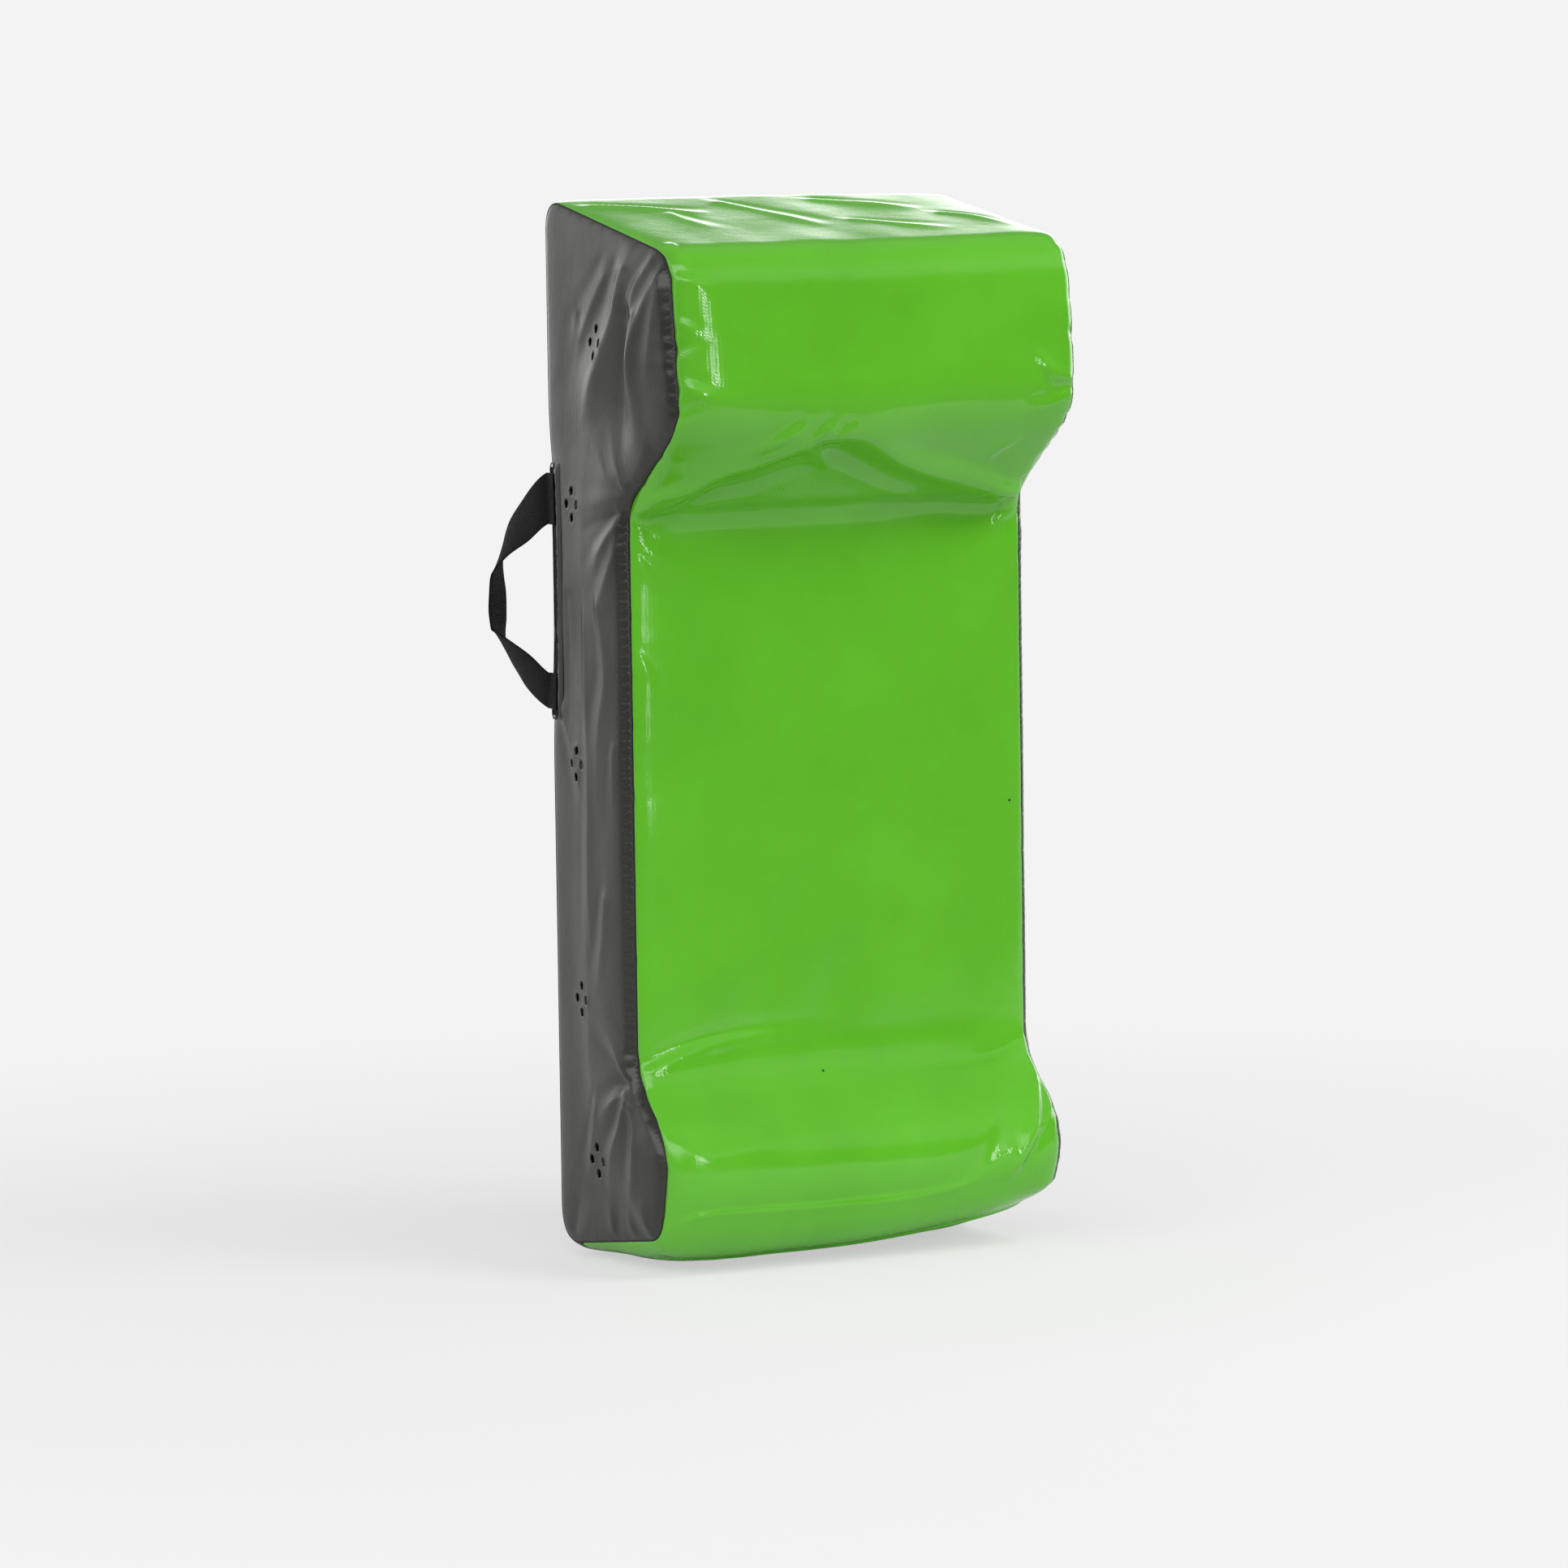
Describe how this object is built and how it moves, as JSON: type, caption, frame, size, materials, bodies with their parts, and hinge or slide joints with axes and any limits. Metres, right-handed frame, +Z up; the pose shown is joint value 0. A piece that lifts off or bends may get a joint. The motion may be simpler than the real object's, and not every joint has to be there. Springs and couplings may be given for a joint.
{
  "type": "tackle shield",
  "caption": "Tall padded contact shield with a thick head, thin waist and rounded foot, vented side panels, a zipped back and twisted webbing hand loops behind its edges.",
  "frame": {"origin": "middle of the flat tread that the shield stands on", "axes": "+Z up, the padded front faces -Y, +X to the right as seen from the front"},
  "size_m": [0.4586, 0.3946, 1.003],
  "materials": {
    "green_pvc": "glossy PVC coating on a woven scrim",
    "charcoal_pvc": "matte PVC coating on a woven scrim",
    "webbing": "woven polypropylene webbing",
    "foam": "open-cell foam",
    "zip_plastic": "moulded acetal teeth on woven tape",
    "zip_metal": "die-cast zinc with a nickel finish"
  },
  "bodies": {
    "shield": {"front_cover": "green_pvc", "side_cover_left": "charcoal_pvc", "side_cover_right": "charcoal_pvc", "back_cover_left": "charcoal_pvc", "back_cover_right": "charcoal_pvc", "foam_back_slab": "foam", "foam_front_slab": "foam", "foam_head_block": "foam", "foam_foot_block": "foam", "handle_strip_left": "webbing", "handle_strip_right": "webbing", "handle_upper_end_left": "webbing", "handle_upper_end_right": "webbing", "handle_lower_end_left": "webbing", "handle_lower_end_right": "webbing", "zip_chain_left": "zip_plastic", "zip_chain_right": "zip_plastic", "zip_top_stop_left": "zip_plastic", "zip_top_stop_right": "zip_plastic", "zip_bottom_stop": "zip_plastic"},
    "handle_left": {"handle_loop_left": "webbing"},
    "handle_right": {"handle_loop_right": "webbing"},
    "slider": {"zip_slider": "zip_metal"},
    "pull": {"zip_pull": "zip_metal"}
  },
  "joints": [
    {"name": "handle_left_swing", "type": "hinge", "parent": "shield", "child": "handle_left", "pos_m": [-0.2135, 0.0885, 0.63], "axis": [0, 0, 1], "range_deg": [-75, 80]},
    {"name": "handle_right_swing", "type": "hinge", "parent": "shield", "child": "handle_right", "pos_m": [0.2135, 0.0885, 0.63], "axis": [0, 0, -1], "range_deg": [-75, 80]},
    {"name": "zip_slide", "type": "slide", "parent": "shield", "child": "slider", "axis": [0, 0, -1], "range_m": [0, 0.58]},
    {"name": "zip_pull_swing", "type": "hinge", "parent": "slider", "child": "pull", "pos_m": [0, 0.0929, 0.7815], "axis": [1, 0, 0], "range_deg": [0, 170]}
  ]
}
